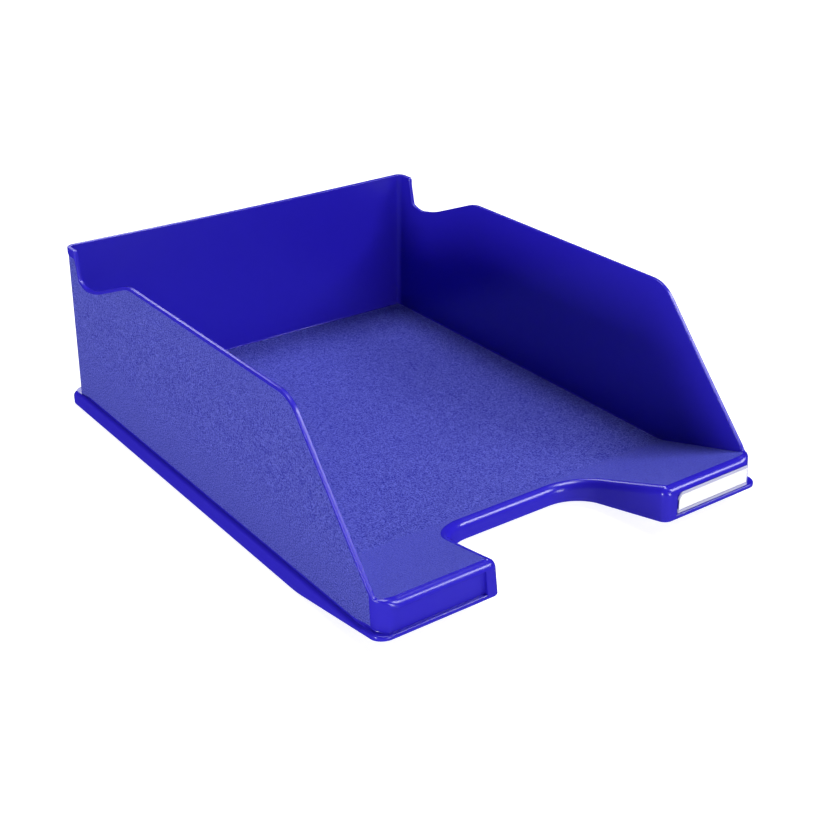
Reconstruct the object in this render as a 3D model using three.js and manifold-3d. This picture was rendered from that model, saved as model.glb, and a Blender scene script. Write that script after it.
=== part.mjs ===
// High-sided A4 letter tray: one plastic moulding with a finger notch between two raised front
// nibs, and a clear label holder with a paper card that slides out of the right-hand nib.
// Millimetres. X runs across the tray, Y to the back, Z up. The origin is on the table under the
// middle of the outline.
import * as THREE from 'three';
import { mergeVertices } from 'three/addons/utils/BufferGeometryUtils.js';
import Module from 'manifold-3d';

// ---- driving dimensions -------------------------------------------------------------------
const width = 255;
const depth = 346;
const height = 107;
const wall = 2.3;
const gap = 0.3;

// Bottom flange: a skirt round the foot of the walls.
const flange = { top: 10.2, side: 2.6, back: 8.8, corner: 7.5, round: 2.3 };
// At the back the flange is wider and lower, and its outer edge falls away.
const backFlange = { from: 152, top: 8.2, bevelFrom: 167, edge: 5.2 };
// Front bead: the flange carried across the front, above the raised underside.
const bead = { bottom: 10.6, top: 13, round: 1.2, riseFrom: -148, riseTo: -163, lap: 0.5 };
const underside = { riseFrom: -99.9 };
const floor = { top: 10.8, thickness: 2.4 };
// Ramps that lift the two nibs, and the rounded edge along their front.
const ramp = { start: -102.6, slope: 0.286, edge: 4.6 };
// Upper edge of the side walls: a dip in front of the back corner, and a steep straight front.
const dip = {
  backTop: 151, backFoot: 146.5, backHeight: 89.3, lowest: 139.5, low: 86.5,
  bend: 123.1, bendHeight: 89.3, front: 77.7,
};
const steep = { top: -101.4, slope: 1.221, shoulder: 21 };
// Inward lean of the outer faces, in mm per mm of height.
const lean = { side: 0.0086, back: 0.0258, front: 0.084 };
const corner = { back: 5.4, front: 11 };
const rim = { proud: 0.5, tall: 5.2 };
const notch = { back: -111.4, halfBack: 47, halfFront: 56, inner: 20.5, outer: 5, flare: 0.07 };
const recess = { face: -170.7, start: 63.8, bottom: 13.3, top: 25.9 };
const holder = { length: 53.9, skin: 0.45, lip: 0.35, web: 1.2, lipTall: 2.1, chamfer: 2.2 };
const card = { thickness: 0.25 };

const halfWidth = width / 2;
const halfDepth = depth / 2;
const bodyHalf = halfWidth - flange.side;
const bodyBack = halfDepth - flange.back;
// Cutting tools run past the part by this much, or stand off its faces by the small step.
const far = 60;
const step = 0.35;

// ---- small helpers ------------------------------------------------------------------------
const wasm = await Module();
wasm.setup();

function toSolid(geometry) {
  geometry.deleteAttribute('normal');
  geometry.deleteAttribute('uv');
  const merged = mergeVertices(geometry, 1e-4);
  return new wasm.Manifold(new wasm.Mesh({
    numProp: 3,
    vertProperties: new Float32Array(merged.attributes.position.array),
    triVerts: new Uint32Array(merged.index.array),
  }));
}

function toGeometry(solid) {
  const mesh = solid.getMesh();
  const geometry = new THREE.BufferGeometry();
  geometry.setAttribute('position', new THREE.BufferAttribute(mesh.vertProperties, 3));
  geometry.setIndex(new THREE.BufferAttribute(mesh.triVerts, 1));
  geometry.computeVertexNormals();
  return geometry;
}

// Closed outline through [a, b, radius] corners, listed anticlockwise; each corner is rounded.
function roundedShape(corners) {
  const shape = new THREE.Shape();
  corners.forEach(([a, b, radius = 0], i) => {
    const here = new THREE.Vector2(a, b);
    const before = corners[(i + corners.length - 1) % corners.length];
    const after = corners[(i + 1) % corners.length];
    const back = new THREE.Vector2(before[0], before[1]).sub(here).normalize();
    const on = new THREE.Vector2(after[0], after[1]).sub(here).normalize();
    const halfAngle = Math.acos(THREE.MathUtils.clamp(back.dot(on), -1, 1)) / 2;
    if (radius === 0) {
      if (i === 0) shape.moveTo(a, b);
      else shape.lineTo(a, b);
      return;
    }
    const reach = radius / Math.tan(halfAngle);
    const start = here.clone().addScaledVector(back, reach);
    const end = here.clone().addScaledVector(on, reach);
    const centre = here.clone()
      .addScaledVector(back.clone().add(on).normalize(), radius / Math.sin(halfAngle));
    const clockwise = back.cross(on) > 0;
    if (i === 0) shape.moveTo(start.x, start.y);
    shape.absarc(
      centre.x, centre.y, radius,
      Math.atan2(start.y - centre.y, start.x - centre.x),
      Math.atan2(end.y - centre.y, end.x - centre.x),
      clockwise,
    );
  });
  return shape;
}

// Prism standing on the XY plane, from z = low to z = high.
function upright(shape, low, high, curveSegments = 4, bevel = {}) {
  const geometry = new THREE.ExtrudeGeometry(shape, {
    depth: high - low, bevelEnabled: false, curveSegments, ...bevel,
  });
  return geometry.translate(0, 0, low);
}

// Prism whose outline is drawn in the YZ plane, from x = left to x = right.
function crosswise(shape, left, right, curveSegments = 5) {
  const geometry = new THREE.ExtrudeGeometry(shape, {
    depth: right - left, bevelEnabled: false, curveSegments,
  });
  const axes = new THREE.Matrix4().makeBasis(
    new THREE.Vector3(0, 1, 0), new THREE.Vector3(0, 0, 1), new THREE.Vector3(1, 0, 0),
  );
  return geometry.applyMatrix4(axes).translate(left, 0, 0);
}

function box(x0, x1, y0, y1, z0, z1) {
  const geometry = new THREE.BoxGeometry(x1 - x0, y1 - y0, z1 - z0);
  return toSolid(geometry.translate((x0 + x1) / 2, (y0 + y1) / 2, (z0 + z1) / 2));
}

function plan(half, front, back, frontRadius, backRadius) {
  return roundedShape([
    [-half, front, frontRadius], [half, front, frontRadius],
    [half, back, backRadius], [-half, back, backRadius],
  ]);
}

// Moves every point in by the lean of the wall that it belongs to.
function leaned(geometry) {
  const position = geometry.attributes.position;
  for (let i = 0; i < position.count; i += 1) {
    const y = position.getY(i);
    const z = position.getZ(i);
    const rise = z - flange.top;
    const inward = y > 0
      ? (lean.back * rise) / bodyBack
      : (lean.front * (z - bead.bottom)) / halfDepth;
    position.setX(i, position.getX(i) * (1 - (lean.side * rise) / bodyHalf));
    position.setY(i, y * (1 - inward));
  }
  return geometry;
}

// ---- tray body ----------------------------------------------------------------------------
const rampBase = floor.top + ramp.start * ramp.slope;
const rampHeight = (y) => rampBase - ramp.slope * y;
const frontFace = (z) => -halfDepth - step + lean.front * (z - bead.bottom);

// Side view of the walls: level top with the dip, steep front edge, nib top and leaning front.
function wallProfile() {
  const foot = (height - steep.slope * steep.top - rampBase) / (-ramp.slope - steep.slope);
  const nibTop = (rampBase - ramp.slope * frontFace(0)) / (1 + ramp.slope * lean.front);
  return roundedShape([
    [halfDepth + far, -far], [halfDepth + far, height],
    [dip.backTop, height, 2], [dip.backFoot, dip.backHeight, 1], [dip.lowest, dip.low, 20],
    [dip.bend, dip.bendHeight, 71],
    [dip.front, height, 32], [steep.top, height, steep.shoulder], [foot, rampHeight(foot), 2],
    [frontFace(nibTop), nibTop, ramp.edge], [frontFace(-far), -far],
  ]);
}

// Finger notch, cut right through; grown by the wall it keeps the hollow clear of the lip.
function notchTool(grow) {
  const front = -halfDepth - step - grow;
  const shape = roundedShape([
    [-halfWidth, -halfDepth - far], [halfWidth, -halfDepth - far], [halfWidth, front],
    [notch.halfFront + grow, front, notch.outer - grow],
    [notch.halfBack + grow, notch.back + grow, notch.inner + grow],
    [-notch.halfBack - grow, notch.back + grow, notch.inner + grow],
    [-notch.halfFront - grow, front, notch.outer - grow], [-halfWidth, front],
  ]);
  const geometry = upright(shape, -far, far);
  const position = geometry.attributes.position;
  for (let i = 0; i < position.count; i += 1) {
    const rise = position.getZ(i) - bead.bottom;
    position.setX(i, position.getX(i) * (1 + (notch.flare * rise) / notch.halfFront));
    position.setY(i, position.getY(i) * (1 - (lean.front * rise) / halfDepth));
  }
  return toSolid(geometry);
}

// Walls, floor and nibs as one block, with the thickened rim behind the dips.
function bodyBlock() {
  const outer = plan(bodyHalf, -halfDepth, bodyBack, corner.front, corner.back);
  const rimOuter = plan(bodyHalf + rim.proud, -halfDepth, bodyBack + rim.proud,
    corner.front, corner.back + rim.proud);
  const backRim = toSolid(leaned(upright(rimOuter, height - rim.tall, height + far)))
    .intersect(box(-halfWidth, halfWidth, dip.bend, halfDepth, 0, height + far));
  return toSolid(leaned(upright(outer, 0, height + far)))
    .add(backRim)
    .intersect(toSolid(crosswise(wallProfile(), -halfWidth, halfWidth)));
}

// The space for the paper, which opens to the front over the ramps.
function paperSpace() {
  const inner = plan(bodyHalf - wall, -halfDepth - far, bodyBack - wall, 0, corner.back - wall);
  const wedge = roundedShape([
    [ramp.start, -far], [ramp.start, floor.top],
    [-halfDepth - 2 * far, rampHeight(-halfDepth - 2 * far)], [-halfDepth - 2 * far, -far],
  ]);
  return toSolid(leaned(upright(inner, floor.top, height + 2 * far)))
    .subtract(toSolid(crosswise(wedge, -halfWidth, halfWidth)));
}

// Slab of the flange's outline with a rounded upper edge.
function flangeSlab(top, round) {
  const inset = flange.corner - round;
  const shape = plan(halfWidth - round, -halfDepth + round, halfDepth - round, inset, inset);
  return toSolid(upright(shape, -far, top - round, 4, {
    bevelEnabled: true, bevelThickness: round, bevelSize: round, bevelSegments: 3,
  }));
}

// What is cut off the flange to make it lower at the back.
function aboveBackFlange() {
  return toSolid(crosswise(roundedShape([
    [halfDepth + far, backFlange.edge], [halfDepth + far, far], [backFlange.from, far],
    [backFlange.from, flange.top], [bodyBack, backFlange.top],
    [backFlange.bevelFrom, backFlange.top], [halfDepth, backFlange.edge],
  ]), -halfWidth - far, halfWidth + far));
}

// Flange round the foot of the walls, and the bead that carries it across the front.
function skirt() {
  const beadZone = roundedShape([
    [-halfDepth - far, -far], [bead.riseFrom, -far], [bead.riseFrom, flange.top - bead.lap],
    [bead.riseTo, bead.top + bead.lap], [-halfDepth - far, bead.top + bead.lap],
  ]);
  return flangeSlab(flange.top, flange.round).subtract(aboveBackFlange()).add(
    flangeSlab(bead.top, bead.round)
      .intersect(toSolid(crosswise(beadZone, -halfWidth - far, halfWidth + far))),
  );
}

// Everything under the tray's foot: level, then rising to the front bead.
function belowFoot() {
  return toSolid(crosswise(roundedShape([
    [-halfDepth - far, -2 * far], [halfDepth + far, -2 * far], [halfDepth + far, 0],
    [underside.riseFrom, 0], [-halfDepth, bead.bottom], [-halfDepth - far, bead.bottom],
  ]), -halfWidth - far, halfWidth + far));
}

// Open hollow underneath: inside the skirt below the floor, and up into both nibs.
function hollow() {
  const inset = flange.corner - wall;
  const ceiling = floor.top - floor.thickness;
  const trough = upright(
    plan(halfWidth - wall, -halfDepth + wall, halfDepth - wall, inset, inset), -far, ceiling, 4,
  );
  const nibs = upright(
    plan(bodyHalf - wall - gap, recess.face + wall, 0, corner.front - wall, 0), -far, far, 4,
  );
  const underRamp = roundedShape([
    [halfDepth, -2 * far], [halfDepth, ceiling - gap], [ramp.start, ceiling - gap],
    [-halfDepth - far, rampHeight(-halfDepth - far) - floor.thickness],
    [-halfDepth - far, -2 * far],
  ]);
  return toSolid(nibs)
    .intersect(toSolid(crosswise(underRamp, -halfWidth, halfWidth)))
    .add(toSolid(trough))
    .subtract(notchTool(wall));
}

// Shallow label recess in each nib's front face, open at its outer end.
function recesses() {
  const cut = (side) => {
    const ends = [side * recess.start, side * (halfWidth + far)].sort((a, b) => a - b);
    return box(ends[0], ends[1], -halfDepth - far, recess.face, recess.bottom, recess.top);
  };
  return cut(-1).add(cut(1));
}

function trayBody() {
  return bodyBlock()
    .subtract(paperSpace())
    .add(skirt())
    .subtract(belowFoot())
    .subtract(hollow())
    .subtract(notchTool(0))
    .subtract(recesses());
}

// ---- label holder and card ----------------------------------------------------------------
const holderBack = recess.face - gap;
const channel = card.thickness + 2 * gap;
const holderFront = holderBack - holder.lip - channel - holder.skin;
const holderLow = recess.bottom + gap;
const holderHigh = recess.top - gap;
const holderStart = recess.start + gap;
const holderEnd = holderStart + holder.length;

// Wedge that cuts the inner upper corner off, where the card is led in.
function leadIn(start, high) {
  const shape = new THREE.Shape([
    new THREE.Vector2(-1, 1),
    new THREE.Vector2(-1, -holder.chamfer - 1),
    new THREE.Vector2(holder.chamfer + 1, 1),
  ]);
  const geometry = new THREE.ExtrudeGeometry(shape, { depth: far, bevelEnabled: false });
  geometry.rotateX(Math.PI / 2).translate(start, -halfDepth + far / 2, high);
  return toSolid(geometry);
}

// Clear channel: a front window, a web along the top and bottom, and two lips behind the card.
function labelHolder() {
  const { skin, lip, web, lipTall } = holder;
  const profile = roundedShape([
    [holderFront, holderLow], [holderBack, holderLow], [holderBack, holderLow + lipTall],
    [holderBack - lip, holderLow + lipTall], [holderBack - lip, holderLow + web],
    [holderFront + skin, holderLow + web], [holderFront + skin, holderHigh - web],
    [holderBack - lip, holderHigh - web], [holderBack - lip, holderHigh - lipTall],
    [holderBack, holderHigh - lipTall], [holderBack, holderHigh], [holderFront, holderHigh],
  ]);
  return toSolid(crosswise(profile, holderStart, holderEnd))
    .subtract(leadIn(holderStart, holderHigh));
}

function labelCard() {
  const near = holderBack - holder.lip - gap;
  const low = holderLow + holder.web + gap;
  const high = holderHigh - holder.web - gap;
  return box(holderStart + gap, holderEnd - gap, near - card.thickness, near, low, high)
    .subtract(leadIn(holderStart + gap, holderHigh - gap));
}

// ---- scene graph --------------------------------------------------------------------------
const materials = {
  blue: new THREE.MeshStandardMaterial({ color: 0x1f1fa8, roughness: 0.35, metalness: 0 }),
  clear: new THREE.MeshStandardMaterial({
    color: 0xe8ecf5, roughness: 0.08, metalness: 0, transparent: true, opacity: 0.35,
  }),
  paper: new THREE.MeshStandardMaterial({ color: 0xfafafa, roughness: 0.85, metalness: 0 }),
};

function part(name, solid, material) {
  const mesh = new THREE.Mesh(toGeometry(solid), material);
  mesh.name = name;
  return mesh;
}

const letterTray = new THREE.Group();
letterTray.add(
  part('tray_body', trayBody(), materials.blue),
  part('label_holder', labelHolder(), materials.clear),
  part('label_card', labelCard(), materials.paper),
);

export default letterTray;
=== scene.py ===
"""Letter tray in blue polystyrene with a clear label holder and a white card.

Metres, in the CAD model's frame: X across the tray, Y to the back, Z up, origin on the table.
The tray is one closed shell. A path runs once round its plan, through the finger notch as well.
At each station of the path a cross-section is worked out: underside, flange, wall or lip, floor.
"""

import math

import bmesh
import bpy
from mathutils import Euler, Matrix, Vector
from mathutils.geometry import delaunay_2d_cdt


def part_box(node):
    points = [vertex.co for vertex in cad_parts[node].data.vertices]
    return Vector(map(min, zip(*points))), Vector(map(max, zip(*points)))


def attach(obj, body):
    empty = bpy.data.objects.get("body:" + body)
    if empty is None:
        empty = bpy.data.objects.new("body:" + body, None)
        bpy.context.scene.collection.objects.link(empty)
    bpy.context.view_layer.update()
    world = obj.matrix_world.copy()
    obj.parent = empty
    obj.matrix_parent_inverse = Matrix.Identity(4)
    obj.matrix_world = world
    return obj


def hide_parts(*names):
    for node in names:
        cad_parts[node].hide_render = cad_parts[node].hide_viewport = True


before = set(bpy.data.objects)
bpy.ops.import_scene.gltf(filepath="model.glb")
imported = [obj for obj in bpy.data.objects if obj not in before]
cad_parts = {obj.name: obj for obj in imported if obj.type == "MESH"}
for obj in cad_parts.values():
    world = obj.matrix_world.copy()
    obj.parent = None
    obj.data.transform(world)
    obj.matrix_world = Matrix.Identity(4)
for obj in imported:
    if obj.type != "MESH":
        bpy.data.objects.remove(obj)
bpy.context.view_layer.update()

# ---- dimensions ------------------------------------------------------------------------------
TRAY_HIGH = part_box("tray_body")[1]
HALF_WIDTH, HALF_DEPTH, TOP = TRAY_HIGH

# The body stands this far inside the flange at the sides and at the back.
FLANGE_SIDE = 0.0026
FLANGE_BACK = 0.0088
WALL = 0.0023
BODY_SIDE = HALF_WIDTH - FLANGE_SIDE
BODY_BACK = HALF_DEPTH - FLANGE_BACK
BODY_FRONT_CORNER = 0.0110
BODY_BACK_CORNER = 0.0054

# Inward lean of the outer faces per metre of height, above the height at which plans are drawn.
PLAN_HEIGHT = 0.0106
LEAN_SIDE = 0.0086
LEAN_BACK = 0.0258
LEAN_FRONT = 0.084
LEAN_NOTCH_SIDE = 0.061
LEAN_NOTCH_BACK = 0.0175

# Flange round the foot, wide and low at the back, and a thin bead across the front.
FLANGE_CORNER = 0.0075
FLANGE_BACK_CORNER = 0.0075
FLANGE_TOP = 0.0102
FLANGE_BACK_TOP = 0.0082
FLANGE_BACK_BLEND = 0.012
FLANGE_ROUND = 0.0023
FLANGE_BACK_ROUND = (0.0065, 0.0035)
BEAD_TOP = 0.0130
BEAD_ROUND = 0.0012
BEAD_FROM = -0.150
BEAD_TO = -0.166
SKIRT_ROUND = 0.0006

# Underside: level, then rising towards the front.
RISE_START = -0.0999
RISE_SLOPE = PLAN_HEIGHT / (HALF_DEPTH + RISE_START)
RISE_BLEND = 0.006

FLOOR_TOP = 0.0108
FLOOR_THICK = 0.0024
RAMP_START = -0.1026
RAMP_SLOPE = 0.286
RAMP_BLEND = 0.004
LIP_ROUND = 0.0046

# Towards the ramps the skirt round the hollow grows thicker, over this length behind their start,
# by a second wall and this margin.
HOLLOW_BLEND = 0.008
HOLLOW_MARGIN = 0.0006

# Finger notch, as half of its outline.
NOTCH_BACK = -0.1114
NOTCH_HALF_BACK = 0.04695
NOTCH_HALF_FRONT = 0.0560
NOTCH_INNER_ROUND = 0.0205
NOTCH_OUTER_ROUND = 0.005

# Label recess in each nib.
RECESS_FACE = -0.1707
RECESS_START = 0.0638
RECESS_TOP = 0.0259

# Upper edge of the side walls: steep at the front, level, and a dip in front of the back corner.
# The dip is given as (y, z, radius) of its corners, from the front to the back.
EDGE_ROUND = 0.0005
FOOT_ROUND = 0.0008
STEEP_TOP = -0.1014
STEEP_SLOPE = 1.221
STEEP_ROUND = 0.021
STEEP_FOOT_ROUND = 0.002
DIP = (
    (0.0777, TOP, 0.032),
    (0.1231, 0.0893, 0.071),
    (0.1395, 0.0865, 0.020),
    (0.1465, 0.0893, 0.0010),
    (0.1510, TOP, 0.002),
)

# Thickened rim behind the dips, how far below it the grain ends, and how far the middle of the
# back's upper edge sags.
RIM_PROUD = 0.0004
RIM_TALL = 0.0050
RIM_FROM = 0.1485
RIM_BLEND = 0.002
RIM_GAP = 0.0003
BACK_SAG = 0.0009

# Fillet where the body stands on the flange, smooth band between the grain and the upper edge,
# and the angle from which an edge of the mesh is shown sharp.
LEDGE_FILLET = 0.00025
SMOOTH_BAND = 0.0018
SHARP_ANGLE = math.radians(38)


# ---- outlines --------------------------------------------------------------------------------
def smoothstep(value):
    value = min(max(value, 0.0), 1.0)
    return value * value * (3 - 2 * value)


def mix(a, b, share):
    return a + (b - a) * share


def even(count):
    return [k / count for k in range(count + 1)]


def quarter(count):
    """Angles from 0 to a right angle."""
    return [math.pi / 2 * k / count for k in range(count + 1)]


def soft_ramp(distance, slope, blend):
    """0 before distance 0, slope * distance after it, with a parabola between -blend and blend."""
    if distance <= -blend:
        return 0.0
    if distance >= blend:
        return slope * distance
    return slope * (distance + blend) ** 2 / (4 * blend)


def arc_of(before, corner, after, radius):
    """Centre, start angle and turn of the arc that rounds the corner between two lines."""
    back = (before - corner).normalized()
    on = (after - corner).normalized()
    half = back.angle(on) / 2
    centre = corner + (back + on).normalized() * (radius / math.sin(half))
    start = corner + back * (radius / math.tan(half)) - centre
    end = corner + on * (radius / math.tan(half)) - centre
    turn = math.atan2(start.cross(end), start.dot(end))
    return centre, math.atan2(start.y, start.x), turn


def unit(angle):
    return Vector((math.cos(angle), math.sin(angle)))


def rounded_path(corners, steps):
    """Points and right-hand normals of a path of straight stretches and arcs.

    corners: (x, y, radius), with radius 0 at both ends. steps: for each straight stretch a list
    of shares from 0 to 1, and between them a number of steps for each arc.
    """
    spots = [Vector(c[:2]) for c in corners]
    points = []
    start = spots[0]
    for i in range(1, len(spots)):
        line = spots[i] - spots[i - 1]
        normal = Vector((line.y, -line.x)).normalized()
        last = i == len(spots) - 1
        if last:
            end = spots[i]
        else:
            radius = corners[i][2]
            centre, angle, turn = arc_of(spots[i - 1], spots[i], spots[i + 1], radius)
            end = centre + unit(angle) * radius
        for share in steps[2 * i - 2]:
            points.append((start.lerp(end, share), normal))
        if not last:
            side = 1 if turn > 0 else -1
            count = steps[2 * i - 1]
            for k in range(1, count):
                ray = unit(angle + turn * k / count)
                points.append((centre + ray * radius, ray * side))
            start = centre + unit(angle + turn) * radius
    return points


# ---- heights ---------------------------------------------------------------------------------
def foot_height(y):
    return soft_ramp(RISE_START - y, RISE_SLOPE, RISE_BLEND)


def floor_height(y):
    return FLOOR_TOP + soft_ramp(RAMP_START - y, RAMP_SLOPE, RAMP_BLEND)


EDGE_ARC_STEPS = 24
EDGE_OVERRUN = 0.01


def wall_edge():
    """Upper edge of a side wall as (y, z) points, from the front to the back."""
    ramp_base = FLOOR_TOP + RAMP_START * RAMP_SLOPE
    foot_y = (ramp_base - TOP + STEEP_SLOPE * STEEP_TOP) / (STEEP_SLOPE + RAMP_SLOPE)
    front_y = -HALF_DEPTH - EDGE_OVERRUN
    corners = [
        (front_y, ramp_base - RAMP_SLOPE * front_y, 0),
        (foot_y, ramp_base - RAMP_SLOPE * foot_y, STEEP_FOOT_ROUND),
        (STEEP_TOP, TOP, STEEP_ROUND),
        *DIP,
        (HALF_DEPTH, TOP, 0),
    ]
    steps = [even(2)] + [EDGE_ARC_STEPS, even(2)] * (len(corners) - 2)
    return [point for point, _ in rounded_path(corners, steps)]


EDGE_POINTS = wall_edge()


def edge_height(y):
    """Height of the wall's upper edge at y."""
    low, high = 0, len(EDGE_POINTS) - 1
    while high - low > 1:
        middle = (low + high) // 2
        if EDGE_POINTS[middle].x <= y:
            low = middle
        else:
            high = middle
    a, b = EDGE_POINTS[low], EDGE_POINTS[high]
    share = (y - a.x) / (b.x - a.x)
    return mix(a.y, b.y, min(max(share, 0.0), 1.0))


def below_edge(y, distance, samples=24):
    """Height of the line that runs inside the upper edge, at a constant distance from it."""
    lowest = edge_height(y) - distance
    for k in range(-samples, samples + 1):
        shift = distance * math.sin(math.pi / 2 * k / samples)
        drop = math.sqrt(max(distance ** 2 - shift ** 2, 0.0))
        lowest = min(lowest, edge_height(y + shift) - drop)
    return lowest


# ---- stations --------------------------------------------------------------------------------
# Stretches of the side where the upper edge bends, as y from, y to and the stations' spacing.
EDGE_BENDS = ((-0.118, -0.084, 0.0015), (0.066, 0.090, 0.003), (0.132, 0.1530, 0.0004))
SIDE_STEP = 0.004
LEAST_STEP = 0.0002

# Steps of the front before and after the recess's inner end, and how wide the step down is.
FRONT_BEFORE, FRONT_AFTER = 3, 12
RECESS_STEP = 0.00015

WALL_ZONES = ("side", "back_corner", "back")
FACE_LEAN = {
    "notch_back": LEAN_NOTCH_BACK,
    "notch_side": LEAN_NOTCH_SIDE,
    "front": LEAN_FRONT,
    "side": LEAN_SIDE,
    "back": LEAN_BACK,
}


class Station:
    """One place on the path: its point and outward normal on the body and on the flange.

    share is how far along its zone it lies, drift is how the body's point moves in plan per metre
    of height, and recess is whether it lies in the label recess.
    """

    def __init__(self, zone, share, body, flange):
        self.zone = zone
        self.share = share
        self.point, self.normal = body
        self.skirt, self.skirt_normal = flange
        self.drift = Vector((0, 0))
        self.recess = False

    def is_wall(self):
        return self.zone in WALL_ZONES

    def has_flange(self):
        if self.zone == "front":
            return self.recess
        return not self.zone.startswith("notch")

    def body(self, inward, z):
        spot = self.point - self.normal * inward + self.drift * (z - PLAN_HEIGHT)
        return Vector((spot.x, spot.y, z))

    def flange(self, inward, z):
        spot = self.skirt - self.skirt_normal * inward
        return Vector((spot.x, spot.y, z))


def side_shares():
    """Where the side's stations lie, closer together where the upper edge bends."""
    reach_low = -HALF_DEPTH + BODY_FRONT_CORNER
    reach_high = BODY_BACK - BODY_BACK_CORNER
    y = reach_low
    shares = []
    while y < reach_high:
        shares.append((y - reach_low) / (reach_high - reach_low))
        step = SIDE_STEP
        for low, high, fine in EDGE_BENDS:
            if low <= y < high:
                step = fine
            elif y < low:
                step = min(step, low - y)
                break
        y += max(step, LEAST_STEP)
    return shares + [1.0]


def make_stations():
    """Stations of the right half, from the middle of the notch to the middle of the back."""
    notch = [
        (0, NOTCH_BACK, 0),
        (NOTCH_HALF_BACK, NOTCH_BACK, NOTCH_INNER_ROUND),
        (NOTCH_HALF_FRONT, -HALF_DEPTH, NOTCH_OUTER_ROUND),
    ]
    body = notch + [
        (BODY_SIDE, -HALF_DEPTH, BODY_FRONT_CORNER),
        (BODY_SIDE, BODY_BACK, BODY_BACK_CORNER),
        (0, BODY_BACK, 0),
    ]
    skirt = notch + [
        (HALF_WIDTH, -HALF_DEPTH, FLANGE_CORNER),
        (HALF_WIDTH, HALF_DEPTH, FLANGE_BACK_CORNER),
        (0, HALF_DEPTH, 0),
    ]
    # For each face the shares at which its stations lie, and for each turn its number of steps.
    zones = {
        "notch_back": even(6),
        "notch_turn": 20,
        "notch_side": even(16),
        "notch_end": 12,
        "front": even(FRONT_BEFORE + 1 + FRONT_AFTER),
        "front_corner": 24,
        "side": side_shares(),
        "back_corner": 14,
        "back": even(14),
    }
    steps = list(zones.values())
    body_points = rounded_path(body, steps)
    skirt_points = rounded_path(skirt, steps)
    stations = []
    for zone, step in zones.items():
        shares = step if isinstance(step, list) else even(step)[1:-1]
        for share in shares:
            k = len(stations)
            stations.append(Station(zone, share, body_points[k], skirt_points[k]))
    split_front(stations)
    set_drift(stations)
    return stations


def split_front(stations):
    """Moves the front's stations so that two of them lie close on either side of the step."""
    front = [s for s in stations if s.zone == "front"]
    start, end = front[0].point.x, front[-1].point.x
    skirt_end = front[-1].skirt.x
    before = [mix(start, RECESS_START - RECESS_STEP, k) for k in even(FRONT_BEFORE)]
    after = [mix(RECESS_START, end, k) for k in even(FRONT_AFTER)]
    skirt_after = [mix(RECESS_START, skirt_end, k) for k in even(FRONT_AFTER)]
    for station, x, skirt_x in zip(front, before + after, before + skirt_after):
        station.point.x = x
        station.skirt.x = skirt_x
        station.recess = x >= RECESS_START
    for station in stations:
        if station.zone == "front_corner":
            station.recess = station.point.y < RECESS_FACE


def corner_drift(before, after):
    """How a corner moves in plan per metre of height, so that it stays on both its faces."""
    turn = Matrix((before.normal, after.normal))
    lean = Vector((FACE_LEAN[before.zone], FACE_LEAN[after.zone]))
    return -(turn.inverted() @ lean)


def set_drift(stations):
    """Gives each station its drift: a corner's own, and on a face a mix of its two corners'."""
    faces = {}
    for station in stations:
        if station.zone in FACE_LEAN:
            faces.setdefault(station.zone, []).append(station)
    runs = list(faces.values())
    ends = [-runs[0][0].normal * FACE_LEAN[runs[0][0].zone]]
    ends += [corner_drift(one[0], other[0]) for one, other in zip(runs, runs[1:])]
    ends += [-runs[-1][0].normal * FACE_LEAN[runs[-1][0].zone]]
    for run, start, end in zip(runs, ends, ends[1:]):
        length = (run[-1].point - run[0].point).length
        for station in run:
            station.drift = start.lerp(end, (station.point - run[0].point).length / length)
    drift = ends[0]
    for station in stations:
        if station.zone in FACE_LEAN:
            drift = ends[list(faces).index(station.zone) + 1]
        else:
            station.drift = drift


# ---- cross-sections --------------------------------------------------------------------------
# Steps of the outer rounding at the top, of the inner and the foot roundings, and of the flange's.
CURVE_STEPS = 8
INNER_STEPS = 3
FLANGE_STEPS = 5

# Middle row of a small rounding, as a share of its radius.
MIDDLE = 0.3
# The roundings of a low wall take at most this share of its height.
LOW_WALL_SHARE = 0.4
# How soon the lip's cross-section turns into the wall's along the front corner.
CORNER_BLEND = 1.3
# How soon the hollow's wall doubles along the front.
HOLLOW_FRONT_BLEND = 4

# Heights of the rows round the recess's upper edge. A lip without a flange has these rows too,
# and the plain ones in place of the flange's fillet. There they are the heights for a rounding
# that starts at LIP_START, and they are scaled to where it really starts.
LIP_START = 0.0262
PLAIN_LEVELS = [BEAD_TOP + rise for rise in (0.0001, 0.0002, 0.0003, 0.001)]
RECESS_LEVELS = [RECESS_TOP + rise for rise in (-0.00015, 0, 0.00002, 0.00015)]
LIP_BAND_SHARES = (0.3, 0.5, 0.8)
RIM_BAND_SHARE = 0.25

# Places of some rows in a cross-section: the inner end of the flange's top, the first row above
# the recess, and the rows between which a wall is grained.
LEDGE_ROW = 11
ABOVE_RECESS_ROW = 17
GRAIN_LOW, GRAIN_HIGH = 14, 19


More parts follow.
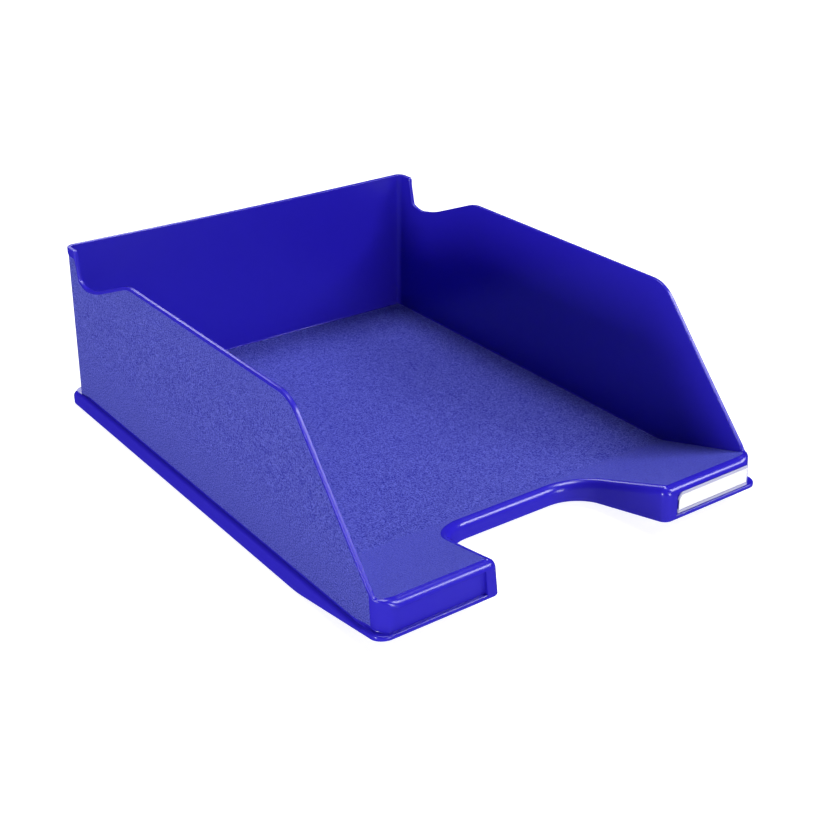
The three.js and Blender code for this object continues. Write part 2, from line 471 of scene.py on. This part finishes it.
def lip_curve(station):
    """Rounding between a leaning lip face and the floor above it, from the face inwards."""
    lean = -station.drift.dot(station.normal)
    slope = RAMP_SLOPE * station.normal.y
    top = floor_height(station.point.y)
    if top < FLOOR_TOP + RAMP_BLEND * RAMP_SLOPE:
        slope = 0.0
    face_in = Vector((1, -lean)).normalized()
    top_in = Vector((slope, -1)).normalized()
    # The centre (inward, height above the plan) is one radius from both lines.
    base = Vector((0, top - PLAN_HEIGHT))
    matrix = Matrix(((face_in.x, face_in.y), (top_in.x, top_in.y)))
    centre = matrix.inverted() @ Vector((LIP_ROUND, LIP_ROUND + top_in.dot(base)))
    points = []
    turn = face_in.angle(top_in)
    for share in even(CURVE_STEPS):
        way = (face_in * math.sin((1 - share) * turn) + top_in * math.sin(share * turn))
        spot = centre - way / math.sin(turn) * LIP_ROUND
        points.append((spot.x, spot.y + PLAN_HEIGHT))
    return points


def lip_upper(station):
    """Upper rows of a lip: its rounding, then copies of the last row to match a wall's count."""
    rows = []
    lean = -station.drift.dot(station.normal)
    for inward, z in lip_curve(station):
        rows.append(station.body(inward - lean * (z - PLAN_HEIGHT), z))
    return rows + [rows[-1].copy() for _ in range(2 * INNER_STEPS + 2)]


def wall_upper(station, rim):
    """Upper rows of a wall: outer rounding, top, inner rounding, inner face and foot fillet."""
    y = station.point.y
    sag = 0.0
    if station.zone == "back":
        sag = BACK_SAG * math.cos(math.pi / 2 * station.point.x / BODY_SIDE)
    rows = []
    for a in quarter(CURVE_STEPS):
        z = below_edge(y, EDGE_ROUND * (1 - math.sin(a))) - sag
        rows.append(station.body(EDGE_ROUND * (1 - math.cos(a)) - rim, z))
    top = edge_height(y) - sag
    floor = floor_height(y)
    edge = min(EDGE_ROUND, LOW_WALL_SHARE * max(top - floor, 0.0))
    foot = min(FOOT_ROUND, LOW_WALL_SHARE * max(top - floor, 0.0))
    rows.append(station.body(WALL - edge, top))
    for a in reversed(quarter(INNER_STEPS)[:-1]):
        z = max(below_edge(y, edge * (1 - math.sin(a))) - sag, floor + foot)
        rows.append(station.body(WALL - edge * (1 - math.cos(a)), z))
    for a in quarter(INNER_STEPS):
        inward = WALL + foot * (1 - math.cos(a))
        rows.append(station.body(inward, floor + foot * (1 - math.sin(a))))
    return rows


def upper_rows(station, rim):
    """Upper rows of a wall or a lip, or in the front corner of something between the two."""
    if station.is_wall():
        return wall_upper(station, rim)
    lip = lip_upper(station)
    if station.zone != "front_corner":
        return lip
    share = smoothstep(1 - CORNER_BLEND * station.share)
    return [a.lerp(b, share) for a, b in zip(wall_upper(station, rim), lip)]


def rim_depth(station):
    """How far the rim stands proud of the wall's outer face."""
    if not station.is_wall() or station.point.y <= RIM_FROM:
        return 0.0
    above = below_edge(station.point.y, EDGE_ROUND) - TOP + RIM_TALL
    return RIM_PROUD * smoothstep(above / RIM_BLEND)


def flange_size(station):
    """Height of the flange's top, and how far its rounding reaches inwards and down."""
    y = station.skirt.y
    if y > 0:
        share = smoothstep((y - BODY_BACK + FLANGE_BACK_BLEND) / FLANGE_BACK_BLEND)
        wide, tall = FLANGE_BACK_ROUND
        turned = smoothstep(station.skirt_normal.y)
        return (mix(FLANGE_TOP, FLANGE_BACK_TOP, share), mix(FLANGE_ROUND, wide, turned),
                mix(FLANGE_ROUND, tall, share))
    share = smoothstep((BEAD_FROM - y) / (BEAD_FROM - BEAD_TO))
    radius = mix(FLANGE_ROUND, BEAD_ROUND, share)
    return mix(FLANGE_TOP, BEAD_TOP, share), radius, radius


def hollow_inset(station):
    """How far inside the flange's outline the hollow underneath starts."""
    if station.zone.startswith("notch"):
        return WALL
    if station.zone == "front":
        return mix(WALL, 2 * WALL, smoothstep(HOLLOW_FRONT_BLEND * station.share))
    behind_ramp = smoothstep((station.skirt.y - RAMP_START) / HOLLOW_BLEND)
    return mix(2 * WALL + HOLLOW_MARGIN, WALL, behind_ramp)


def foot_rows(station, foot):
    """Ceiling of the hollow, inner side of the skirt, and the rounding at the skirt's foot."""
    inner = station.flange(hollow_inset(station), foot)
    return [
        Vector((inner.x, inner.y, floor_height(inner.y) - FLOOR_THICK)),
        inner,
        station.flange(SKIRT_ROUND, foot),
        station.flange(MIDDLE * SKIRT_ROUND, foot + MIDDLE * SKIRT_ROUND),
        station.flange(0, foot + SKIRT_ROUND),
    ]


def flange_rows(station):
    """Rounded edge of the flange, and the fillet between its top and the wall."""
    top, wide, tall = flange_size(station)
    rows = [station.flange(wide * (1 - math.cos(a)), top - tall * (1 - math.sin(a)))
            for a in quarter(FLANGE_STEPS)]
    # Out from the body and up, in fillet radii: three rows on the fillet and one above it.
    fillet = ((1, 0), (MIDDLE, MIDDLE), (0, 1), (0, 4))
    return rows + [station.body(-out * LEDGE_FILLET, top + up * LEDGE_FILLET)
                   for out, up in fillet]


def band_levels(station, low, high):
    """Heights of the last rows below the upper edge, which starts at high."""
    if not station.is_wall():
        return [mix(low, high, share) for share in LIP_BAND_SHARES]
    grain_top = below_edge(station.point.y, SMOOTH_BAND)
    if station.point.y > RIM_FROM:
        grain_top = min(grain_top, TOP - RIM_TALL - RIM_GAP)
    rim_low = max(min(high, TOP - RIM_TALL), grain_top)
    return [grain_top, rim_low, mix(rim_low, high, RIM_BAND_SHARE)]


def section(station):
    """The station's cross-section, from the ceiling of the hollow out, up and over to the floor."""
    rim = rim_depth(station)
    upper = upper_rows(station, rim)
    foot = foot_height(station.skirt.y)
    rows = foot_rows(station, foot)
    levels = RECESS_LEVELS
    if station.has_flange():
        rows += flange_rows(station)
    else:
        bead = [BEAD_TOP - BEAD_ROUND * (1 - math.sin(a)) for a in quarter(FLANGE_STEPS)]
        scale = (upper[0].z - foot) / (LIP_START - PLAN_HEIGHT)
        levels = [foot + (z - PLAN_HEIGHT) * scale for z in bead + PLAIN_LEVELS + levels]
    *band, rim_level = band_levels(station, levels[-1], upper[0].z)
    rows += [station.body(0, z) for z in levels + band]
    rows.append(station.body(-rim, rim_level))
    if station.recess:
        sink_into_recess(rows)
        return end_at_recess(rows, upper)
    return rows + upper


def sink_into_recess(rows):
    """Pushes the rows that lie on the recess's face back to it, with a fillet at its foot."""
    fillet = (LEDGE_FILLET, MIDDLE * LEDGE_FILLET, 0, 0, 0, 0)
    for row, out in zip(rows[LEDGE_ROW:ABOVE_RECESS_ROW], fillet):
        row.y = max(row.y, RECESS_FACE - out)


def end_at_recess(rows, upper):
    """Adds the upper rows. A lip that reaches below the recess's upper edge ends at that edge."""
    edge = rows[ABOVE_RECESS_ROW].z
    if upper[0].z > edge:
        return rows + upper
    above = next(k for k, spot in enumerate(upper) if spot.z > edge)
    low, high = upper[above - 1], upper[above]
    corner = low.lerp(high, (edge - low.z) / (high.z - low.z))
    moved = len(rows) - ABOVE_RECESS_ROW + above
    return rows[:ABOVE_RECESS_ROW] + [corner.copy() for _ in range(moved)] + upper[above:]


# ---- mesh ------------------------------------------------------------------------------------
GLOSSY, GRAINED, FINE_GRAINED = 0, 1, 2
# Points closer together than this become one, and thinner faces go.
MERGE_DISTANCE = 2e-6
THIN = 1e-6
FILL_TOLERANCE = 1e-7
# Lines are drawn across the fill this far past the ramp's bend, between points beyond this x.
BEND_MARGIN = 0.0002
BEND_SIDE = 0.1


def mirrored(rows):
    return [Vector((-p.x, p.y, p.z)) for p in rows]


def all_round(half):
    """The right half's stations, followed by the same ones back again for the left half."""
    return half + list(reversed(half))[1:-1]


def add_fill(mesh, loop, height_at, material_at):
    """Fills a closed loop of vertices with triangles whose heights and materials follow y."""
    flat = [v.co.to_2d() for v in loop]
    count = len(flat)
    edges = [(k, (k + 1) % count) for k in range(count)]
    across = {}
    for k, point in enumerate(flat):
        bend = abs(point.y - RAMP_START) <= RAMP_BLEND + BEND_MARGIN
        if bend and abs(point.x) > BEND_SIDE:
            across.setdefault(round(point.y, 5), []).append(k)
    edges += [tuple(pair) for pair in across.values() if len(pair) == 2]
    outline = [list(range(count))]
    spots, _, faces, origin, _, _ = delaunay_2d_cdt(flat, edges, outline, 1, FILL_TOLERANCE)
    vertices = []
    for point, source in zip(spots, origin):
        if source:
            vertices.append(loop[source[0]])
        else:
            vertices.append(mesh.verts.new((point.x, point.y, height_at(point.y))))
    for face in faces:
        corners = [vertices[i] for i in face]
        if len(set(corners)) == len(corners) and not mesh.faces.get(corners):
            made = mesh.faces.new(corners)
            made.material_index = material_at(sum(c.co.y for c in corners) / len(corners))


def add_walls(mesh, grid, walls):
    """Joins the rows of neighbouring cross-sections with faces."""
    for i, here in enumerate(grid):
        after = (i + 1) % len(grid)
        there = grid[after]
        for k in range(len(here) - 1):
            face = mesh.faces.new((here[k], there[k], there[k + 1], here[k + 1]))
            grained = walls[i] and walls[after] and GRAIN_LOW <= k < GRAIN_HIGH
            face.material_index = GRAINED if grained else GLOSSY


def tray_mesh():
    half = make_stations()
    right = [section(s) for s in half]
    sections = right + [mirrored(rows) for rows in all_round(right)[len(right):]]
    mesh = bmesh.new()
    grid = [[mesh.verts.new(p) for p in rows] for rows in sections]
    add_walls(mesh, grid, all_round([s.is_wall() for s in half]))
    add_fill(mesh, [rows[-1] for rows in grid], floor_height,
             lambda y: GRAINED if y > RAMP_START else FINE_GRAINED)
    add_fill(mesh, [rows[0] for rows in grid],
             lambda y: floor_height(y) - FLOOR_THICK, lambda y: GLOSSY)
    bmesh.ops.remove_doubles(mesh, verts=mesh.verts, dist=MERGE_DISTANCE)
    bmesh.ops.dissolve_degenerate(mesh, edges=mesh.edges, dist=THIN)
    bmesh.ops.recalc_face_normals(mesh, faces=mesh.faces)
    for face in mesh.faces:
        face.smooth = True
    for edge in mesh.edges:
        if len(edge.link_faces) == 2:
            edge.smooth = edge.calc_face_angle(0) < SHARP_ANGLE
    return mesh


def add_object(name, mesh, *materials):
    data = bpy.data.meshes.new(name)
    mesh.to_mesh(data)
    mesh.free()
    for material in materials:
        data.materials.append(material)
    piece = bpy.data.objects.new(name, data)
    bpy.context.scene.collection.objects.link(piece)
    return piece


# ---- materials -------------------------------------------------------------------------------
# Size of the faint patches in the shine of the blue plastic, and how much rougher they get.
CLOUD_SIZE = 0.04
ROUGHNESS_SWING = 0.03
# A noise stays near one half, so this much on either side of it is spread over the full range.
NOISE_REACH = 0.22
# The grain's painted shade and sheen are mostly less or more white light, so the blue itself
# changes least.
SHADE_AND_SHEEN_SHARES = (1.0, 1.0, 0.4)


class Finish:
    """How a moulded face looks.

    grain and depth are the size and depth of its pits, in metres. shade is the share by which the
    pits are painted darker than the colour, as painted shade, and the peaks paler, as painted
    sheen.
    """

    def __init__(self, colour, grain, depth, shade, roughness, shine):
        self.colour = Vector(colour)
        self.grain = grain
        self.depth = depth
        self.shade = shade
        self.roughness = roughness
        self.shine = shine


# Fine pits scatter more white light, and the grained faces' colours are painted paler than the
# glossy one's, as painted sheen.
FINISHES = {
    "blue_glossy": Finish((0.020, 0.012, 0.45), 0.006, 0.00003, 0.02, 0.23, 0.48),
    "blue_grained": Finish((0.088, 0.098, 0.55), 0.0008, 0.0024, 0.90, 0.45, 0.05),
    "blue_fine_grained": Finish((0.066, 0.074, 0.48), 0.0007, 0.0010, 0.55, 0.42, 0.15),
}

CLEAR_COLOUR = (0.68, 0.68, 0.88)
CLEAR_ROUGHNESS = (0.04, 0.14)
CLEAR_FACING_BLEND = 0.35
SCRATCH_SIZE, SCRATCH_DEPTH, SCRATCH_DETAIL = 0.003, 0.00001, 6

CARD_COLOURS = ((0.88, 0.88, 0.87), (0.95, 0.95, 0.95))
CARD_ROUGHNESS = (0.70, 0.85)
FIBRE_SIZE, FIBRE_DEPTH, FIBRE_DETAIL = 0.0006, 0.00003, 5


def new_material(name):
    material = bpy.data.materials.new(name)
    material.use_nodes = True
    tree = material.node_tree
    return material, tree.nodes, tree.links, tree.nodes["Principled BSDF"]


def add_noise(material, size, detail=2.0):
    """Noise in the object's own space, with features of about the given size."""
    nodes, links = material.node_tree.nodes, material.node_tree.links
    place = nodes.new("ShaderNodeTexCoord")
    noise = nodes.new("ShaderNodeTexNoise")
    noise.inputs["Scale"].default_value = 1 / size
    noise.inputs["Detail"].default_value = detail
    links.new(place.outputs["Object"], noise.inputs["Vector"])
    return noise.outputs["Fac"]


def add_range(material, noise, low, high):
    """Spreads a noise over the numbers from low to high."""
    nodes, links = material.node_tree.nodes, material.node_tree.links
    spread = nodes.new("ShaderNodeMapRange")
    spread.clamp = False
    spread.inputs["From Min"].default_value = 0.5 - NOISE_REACH
    spread.inputs["From Max"].default_value = 0.5 + NOISE_REACH
    spread.inputs["To Min"].default_value = low
    spread.inputs["To Max"].default_value = high
    links.new(noise, spread.inputs["Value"])
    return spread.outputs["Result"]


def add_colours(material, noise, low, high):
    """Spreads a noise over the colours from low to high."""
    nodes, links = material.node_tree.nodes, material.node_tree.links
    ramp = nodes.new("ShaderNodeValToRGB")
    for end, side, colour in zip(ramp.color_ramp.elements, (-1, 1), (low, high)):
        end.position = 0.5 + side * NOISE_REACH
        end.color = (*colour, 1)
    links.new(noise, ramp.inputs["Fac"])
    return ramp.outputs["Color"]


def add_bump(material, noise, depth):
    """Raises the shader's surface by a noise."""
    nodes, links = material.node_tree.nodes, material.node_tree.links
    bump = nodes.new("ShaderNodeBump")
    bump.inputs["Distance"].default_value = depth
    links.new(noise, bump.inputs["Height"])
    links.new(bump.outputs["Normal"], nodes["Principled BSDF"].inputs["Normal"])


def blue_plastic(name):
    """Moulded blue plastic with its grain painted: pits darker, as painted shade, and peaks paler,
    as painted sheen.
    """
    material, _, links, shader = new_material(name)
    finish = FINISHES[name]
    shader.inputs["Specular IOR Level"].default_value = finish.shine
    fine = add_noise(material, finish.grain)
    # The grain's noise paints the pits darker, as painted shade, and the peaks paler, as painted
    # sheen; the same noise also bumps the surface.
    painted_shade_and_sheen = Vector([c * finish.shade * share for c, share in zip(finish.colour, SHADE_AND_SHEEN_SHARES)])
    colours = add_colours(material, fine, finish.colour - painted_shade_and_sheen, finish.colour + painted_shade_and_sheen)
    links.new(colours, shader.inputs["Base Color"])
    cloud = add_noise(material, CLOUD_SIZE)
    low, high = finish.roughness - ROUGHNESS_SWING, finish.roughness + ROUGHNESS_SWING
    links.new(add_range(material, cloud, low, high), shader.inputs["Roughness"])
    add_bump(material, fine, finish.depth)
    return material


def clear_plastic(name, from_front, from_side):
    """Clear plastic whose pale colour covers more of what is behind it where it is seen edge on, as
    painted reflection.
    """
    material, nodes, links, shader = new_material(name)
    shader.inputs["Base Color"].default_value = (*CLEAR_COLOUR, 1)
    weight = nodes.new("ShaderNodeLayerWeight")
    weight.inputs["Blend"].default_value = CLEAR_FACING_BLEND
    painted_reflection_cover = nodes.new("ShaderNodeMapRange")
    painted_reflection_cover.inputs["To Min"].default_value = from_front
    painted_reflection_cover.inputs["To Max"].default_value = from_side
    links.new(weight.outputs["Facing"], painted_reflection_cover.inputs["Value"])
    links.new(painted_reflection_cover.outputs["Result"], shader.inputs["Alpha"])
    scratches = add_noise(material, SCRATCH_SIZE, SCRATCH_DETAIL)
    links.new(add_range(material, scratches, *CLEAR_ROUGHNESS), shader.inputs["Roughness"])
    add_bump(material, scratches, SCRATCH_DEPTH)
    return material


def white_paper():
    """Smooth white card with faint fibres."""
    material, _, links, shader = new_material("white_paper")
    fibres = add_noise(material, FIBRE_SIZE, FIBRE_DETAIL)
    links.new(add_colours(material, fibres, *CARD_COLOURS), shader.inputs["Base Color"])
    links.new(add_range(material, fibres, *CARD_ROUGHNESS), shader.inputs["Roughness"])
    add_bump(material, fibres, FIBRE_DEPTH)
    return material


def make_tray():
    piece = add_object("tray", tray_mesh(), *[blue_plastic(name) for name in FINISHES])
    weighted = piece.modifiers.new("weighted_normals", "WEIGHTED_NORMAL")
    weighted.keep_sharp = True
    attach(piece, "tray")
    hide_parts("tray_body")


# ---- label holder and card -------------------------------------------------------------------
HOLDER_LOW, HOLDER_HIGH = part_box("label_holder")
HOLDER_STAND_OFF = 0.0008
HOLDER_BACK = RECESS_FACE - HOLDER_STAND_OFF
HOLDER_LIP = 0.0002
HOLDER_CHANNEL = 0.0004
HOLDER_SKIN = 0.0003
HOLDER_WEB = 0.0013
HOLDER_LIP_TALL = 0.0022
HOLDER_EDGE = 0.00006
HOLDER_START_GAP = 0.0011
CARD_THICK = 0.0002
CARD_MARGIN = 0.0017
CARD_EDGE = 0.00003
CARD_START_GAP = 0.0016
CARD_ROWS = 4
LEAD_IN = 0.0022
LEAD_IN_COLUMNS, PLAIN_COLUMNS = 6, 16

# How much the clear plastic's pale colour covers what is behind it, seen from the front and from
# the side, as painted reflection.
WINDOW_COVER = (0.02, 0.30)
EDGE_COVER = (0.30, 0.85)


def cut_corner(x, start):
    """How far the upper edge is cut down at x, for the corner where the card is led in."""
    return max(LEAD_IN - (x - start), 0.0)


def columns(start, end):
    """Places along X, closer together where the corner is cut."""
    cut = [mix(start, start + LEAD_IN, share) for share in even(LEAD_IN_COLUMNS)]
    return cut + [mix(start + LEAD_IN, end, share) for share in even(PLAIN_COLUMNS)[1:]]


def loft(name, profile, start, end, edge, materials, first_sides=()):
    """Carries a closed profile of (y, z, share of the cut corner) points along X.

    The sides numbered in first_sides take the first material, all others the last one.
    """
    mesh = bmesh.new()
    rings = []
    for x in columns(start, end):
        drop = cut_corner(x, start)
        rings.append([mesh.verts.new((x, y, z - drop * share)) for y, z, share in profile])
    for here, there in zip(rings, rings[1:]):
        for k in range(len(profile)):
            after = (k + 1) % len(profile)
            face = mesh.faces.new((here[k], there[k], there[after], here[after]))
            face.material_index = 0 if k in first_sides else len(materials) - 1
    for ring in (rings[0], rings[-1]):
        mesh.faces.new(ring).material_index = len(materials) - 1
    bmesh.ops.recalc_face_normals(mesh, faces=mesh.faces)
    for face in mesh.faces:
        face.smooth = True
    piece = add_object(name, mesh, *materials)
    bevel = piece.modifiers.new("soft_edges", "BEVEL")
    bevel.width = edge
    bevel.segments = 2
    bevel.harden_normals = True
    return piece


def make_holder():
    """Clear channel: a front window, a web along the top and bottom, and two lips behind."""
    low, high, back = HOLDER_LOW.z, HOLDER_HIGH.z, HOLDER_BACK
    inside = back - HOLDER_LIP
    window = inside - HOLDER_CHANNEL
    front = window - HOLDER_SKIN
    profile = [
        (front, low, 0), (back, low, 0), (back, low + HOLDER_LIP_TALL, 0),
        (inside, low + HOLDER_LIP_TALL, 0), (inside, low + HOLDER_WEB, 0),
        (window, low + HOLDER_WEB, 0), (window, high - HOLDER_WEB, 1),
        (inside, high - HOLDER_WEB, 1), (inside, high - HOLDER_LIP_TALL, 1),
        (back, high - HOLDER_LIP_TALL, 1), (back, high, 1), (front, high, 1),
        (front, high - HOLDER_WEB, 1), (front, low + HOLDER_WEB, 0),
    ]
    # The window's inner side, and its outer side between the two webs.
    window_sides = (5, 12)
    materials = [clear_plastic("clear_window", *WINDOW_COVER),
                 clear_plastic("clear_edge", *EDGE_COVER)]
    piece = loft("holder", profile, HOLDER_LOW.x + HOLDER_START_GAP, HOLDER_HIGH.x, HOLDER_EDGE,
                 materials, window_sides)
    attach(piece, "holder")
    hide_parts("label_holder")


def make_card():
    """White card, a little lower than its channel."""
    low, high = HOLDER_LOW.z + CARD_MARGIN, HOLDER_HIGH.z - CARD_MARGIN
    back = HOLDER_BACK - HOLDER_LIP - (HOLDER_CHANNEL - CARD_THICK) / 2
    front = back - CARD_THICK
    heights = [(mix(low, high, share), share) for share in even(CARD_ROWS)]
    profile = [(front, z, share) for z, share in heights]
    profile += [(back, z, share) for z, share in reversed(heights)]
    card_low, card_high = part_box("label_card")
    piece = loft("card", profile, card_low.x + CARD_START_GAP, card_high.x, CARD_EDGE,
                 [white_paper()])
    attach(piece, "card")
    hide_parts("label_card")


# ---- scene -----------------------------------------------------------------------------------
# Camera: where it stands, how many degrees it is turned to the right, down and rolled, and its
# sensor and lens in millimetres.
CAMERA_PLACE = (-0.4300, -0.61608, 0.39688)
CAMERA_YAW, CAMERA_PITCH, CAMERA_ROLL = 35.65, 26.24, -0.23
CAMERA_SENSOR, CAMERA_LENS = 36, 62.78
CAMERA_SHIFT = (0.0021, -0.0003)
CAMERA_CLIP_START = 0.01


def make_camera():
    camera = bpy.data.objects.new("camera", bpy.data.cameras.new("camera"))
    bpy.context.scene.collection.objects.link(camera)
    yaw, pitch, roll = (math.radians(a) for a in (CAMERA_YAW, CAMERA_PITCH, CAMERA_ROLL))
    turn = Euler((math.pi / 2 - pitch, 0, -yaw)).to_matrix() @ Matrix.Rotation(roll, 3, "Z")
    camera.matrix_world = Matrix.Translation(CAMERA_PLACE) @ turn.to_4x4()
    camera.data.sensor_width = CAMERA_SENSOR
    camera.data.lens = CAMERA_LENS
    camera.data.shift_x, camera.data.shift_y = CAMERA_SHIFT
    camera.data.clip_start = CAMERA_CLIP_START
    bpy.context.scene.camera = camera


# The floor is lit from behind, as a light table is, so that shadows on it stay faint. It isn't
# mirrored in the glossy plastic, and the backdrop behind it is there for the camera alone.
FLOOR_HALF_SIZE = 14
FLOOR_DROP = 0.0002
FLOOR_PALE = 0.4
FLOOR_GLOW = 0.9
BACKDROP_RADIUS = 12
BACKDROP_GLOW = 1
STAGE_ROUGHNESS = 0.9


def pale_stage(name, mesh, paleness, glow):
    """Adds a plain surface of the studio that scatters light and glows evenly."""
    material, _, _, shader = new_material(name)
    shader.inputs["Base Color"].default_value = (paleness, paleness, paleness, 1)
    shader.inputs["Roughness"].default_value = STAGE_ROUGHNESS
    shader.inputs["Emission Color"].default_value = (1, 1, 1, 1)
    shader.inputs["Emission Strength"].default_value = glow
    piece = add_object(name, mesh, material)
    piece.visible_glossy = False
    return piece


def make_stage():
    mesh = bmesh.new()
    bmesh.ops.create_grid(mesh, x_segments=1, y_segments=1, size=FLOOR_HALF_SIZE)
    pale_stage("floor", mesh, FLOOR_PALE, FLOOR_GLOW).location.z = -FLOOR_DROP
    mesh = bmesh.new()
    bmesh.ops.create_icosphere(mesh, subdivisions=3, radius=BACKDROP_RADIUS)
    backdrop = pale_stage("backdrop", mesh, 0, BACKDROP_GLOW)
    backdrop.visible_diffuse = False
    backdrop.visible_transmission = False
    backdrop.visible_shadow = False


# Brightness of the studio: pale up to a few degrees above the floor, dim higher up, and dimmer
# behind the tray than in front of it. FRONT_TO_BACK is the part of the way over which it dims.
WALL_LOW, WALL_HIGH = 4, 20
WALL_LIGHT, CEILING_LIGHT = 1.2, 0.12
FRONT_TO_BACK = (-0.4, 0.5)
BACK_SHARE = 0.14

# Soft boxes round the tray: degrees round from the front towards the left, degrees up, size
# across and power.
LIGHT_DISTANCE = 8
SOFT_BOXES = {
    "front": (0, 20, 3.0, 280),
    "right_front": (306, 43, 2.6, 300),
    "right_back": (200, 30, 2.0, 80),
    "above": (215, 74, 3.5, 530),
    "low_left": (90, 5, 1.4, 390),
}


def soft_box(name, around, up, size, power):
    """A square light that faces the tray and that the camera doesn't see."""
    light = bpy.data.lights.new(name, "AREA")
    light.size = size
    light.energy = power
    lamp = bpy.data.objects.new(name, light)
    bpy.context.scene.collection.objects.link(lamp)
    around, up = math.radians(around), math.radians(up)
    level = math.cos(up)
    way = Vector((-math.sin(around) * level, -math.cos(around) * level, math.sin(up)))
    turn = (-way).to_track_quat("-Z", "Y").to_matrix().to_4x4()
    lamp.visible_camera = False
    lamp.matrix_world = Matrix.Translation(way * LIGHT_DISTANCE) @ turn


def make_world():
    """Light from all round, by the height and the depth of the direction it comes from."""
    world = bpy.data.worlds.new("studio")
    bpy.context.scene.world = world
    world.use_nodes = True
    nodes, links = world.node_tree.nodes, world.node_tree.links
    place = nodes.new("ShaderNodeTexCoord")
    split = nodes.new("ShaderNodeSeparateXYZ")
    fade = nodes.new("ShaderNodeMapRange")
    fade.interpolation_type = "SMOOTHSTEP"
    fade.inputs["From Min"].default_value = math.sin(math.radians(WALL_LOW))
    fade.inputs["From Max"].default_value = math.sin(math.radians(WALL_HIGH))
    fade.inputs["To Min"].default_value = WALL_LIGHT
    fade.inputs["To Max"].default_value = CEILING_LIGHT
    links.new(place.outputs["Generated"], split.inputs["Vector"])
    links.new(split.outputs["Z"], fade.inputs["Value"])
    dim = nodes.new("ShaderNodeMapRange")
    dim.inputs["From Min"].default_value, dim.inputs["From Max"].default_value = FRONT_TO_BACK
    dim.inputs["To Min"].default_value = 1
    dim.inputs["To Max"].default_value = BACK_SHARE
    links.new(split.outputs["Y"], dim.inputs["Value"])
    both = nodes.new("ShaderNodeMath")
    both.operation = "MULTIPLY"
    links.new(fade.outputs["Result"], both.inputs[0])
    links.new(dim.outputs["Result"], both.inputs[1])
    links.new(both.outputs["Value"], nodes["Background"].inputs["Strength"])


bpy.context.scene.view_settings.view_transform = "Standard"
make_camera()
make_stage()
make_world()
for box_name, box_values in SOFT_BOXES.items():
    soft_box(box_name, *box_values)
make_tray()
make_holder()
make_card()
